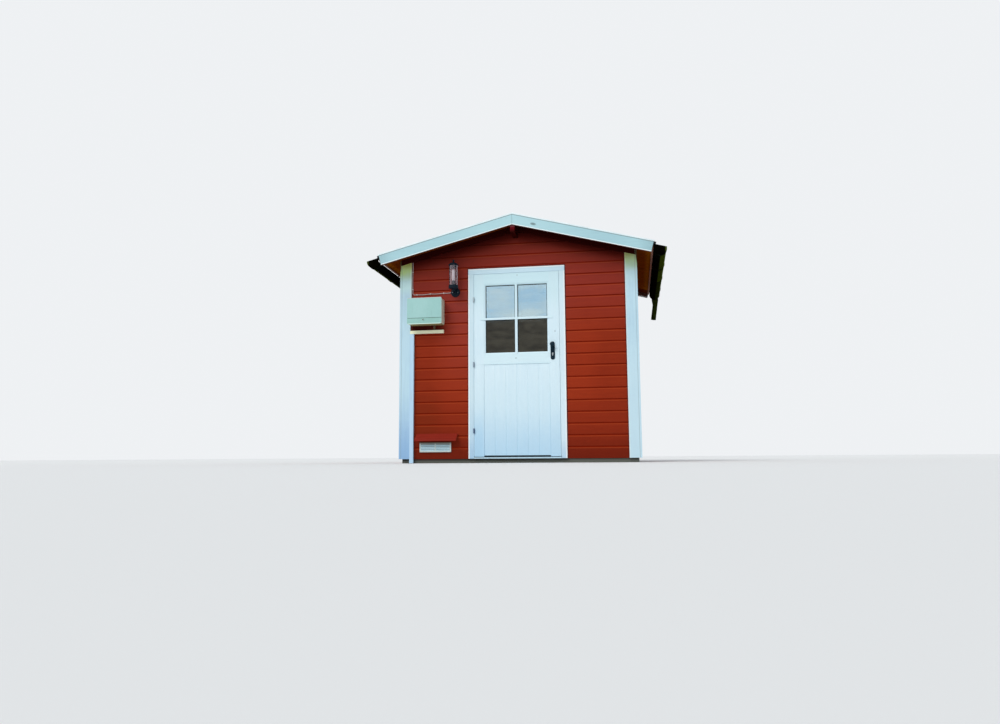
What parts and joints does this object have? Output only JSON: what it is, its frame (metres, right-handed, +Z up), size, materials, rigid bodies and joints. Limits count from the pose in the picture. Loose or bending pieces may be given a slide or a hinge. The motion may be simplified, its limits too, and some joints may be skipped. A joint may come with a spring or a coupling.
{
  "type": "wooden outhouse",
  "caption": "Small red board-clad timber outhouse with a low gable roof, white trim, a half-glazed white side door, gutters, a wall lamp and an electric box.",
  "frame": {"origin": "on the ground under the middle of the hut", "axes": "+Z up, -Y out of the door side, +X to the right as seen from in front of the door"},
  "size_m": [3.1312, 2.347, 2.5776],
  "materials": {
    "red_boards": "matte paint",
    "red_timber": "matte paint",
    "white_paint": "satin paint",
    "door_paint": "satin paint",
    "stained_boards": "satin stain",
    "bare_timber": "raw",
    "floor_boards": "raw",
    "roof_felt": "rough mineral surface",
    "white_metal": "satin paint",
    "gutter_plastic": "satin",
    "pane_glass": "clear",
    "lamp_glass": "clear",
    "black_metal": "satin paint",
    "hinge_steel": "galvanised",
    "box_plastic": "satin",
    "trunk_plastic": "satin",
    "cable_sheath": "satin",
    "vent_metal": "dull paint"
  },
  "bodies": {
    "hut": {"end_bearers": "bare_timber", "floor_joists": "bare_timber", "floor_deck": "floor_boards", "front_wall_left": "red_boards", "front_wall_right": "red_boards", "front_wall_over_door": "red_boards", "rear_wall": "red_boards", "left_wall": "red_boards", "right_wall": "red_boards", "corner_posts": "bare_timber", "front_corner_boards": "white_paint", "rear_corner_boards": "white_paint", "ridge_beam": "red_timber", "gable_rafters": "red_timber", "roof_deck_left": "stained_boards", "roof_deck_right": "stained_boards", "roof_felt_left": "roof_felt", "roof_felt_right": "roof_felt", "front_left_bargeboard": "white_paint", "front_right_bargeboard": "white_paint", "rear_left_bargeboard": "white_paint", "rear_right_bargeboard": "white_paint", "drip_edges": "white_metal", "eave_boards": "stained_boards", "left_gutter": "gutter_plastic", "right_gutter": "gutter_plastic", "gutter_brackets": "gutter_plastic", "downpipes": "gutter_plastic", "left_jamb": "white_paint", "right_jamb": "white_paint", "door_head": "white_paint", "door_threshold": "white_paint", "hinge_frame_halves": "hinge_steel", "lamp_body": "black_metal", "lamp_glass": "lamp_glass", "electric_box": "box_plastic", "cable_trunking": "trunk_plastic", "supply_cable": "cable_sheath", "vent_grille": "vent_metal", "vent_hood": "red_timber"},
    "door": {"door_leaf": "door_paint", "glazing_bars": "door_paint", "door_glass": "pane_glass", "door_lock": "black_metal", "hinge_leaf_halves": "hinge_steel"}
  },
  "joints": [
    {"name": "door_hinge", "type": "hinge", "parent": "hut", "child": "door", "pos_m": [-0.454, -0.9355, 1], "axis": [0, 0, -1], "range_deg": [0, 110]}
  ]
}
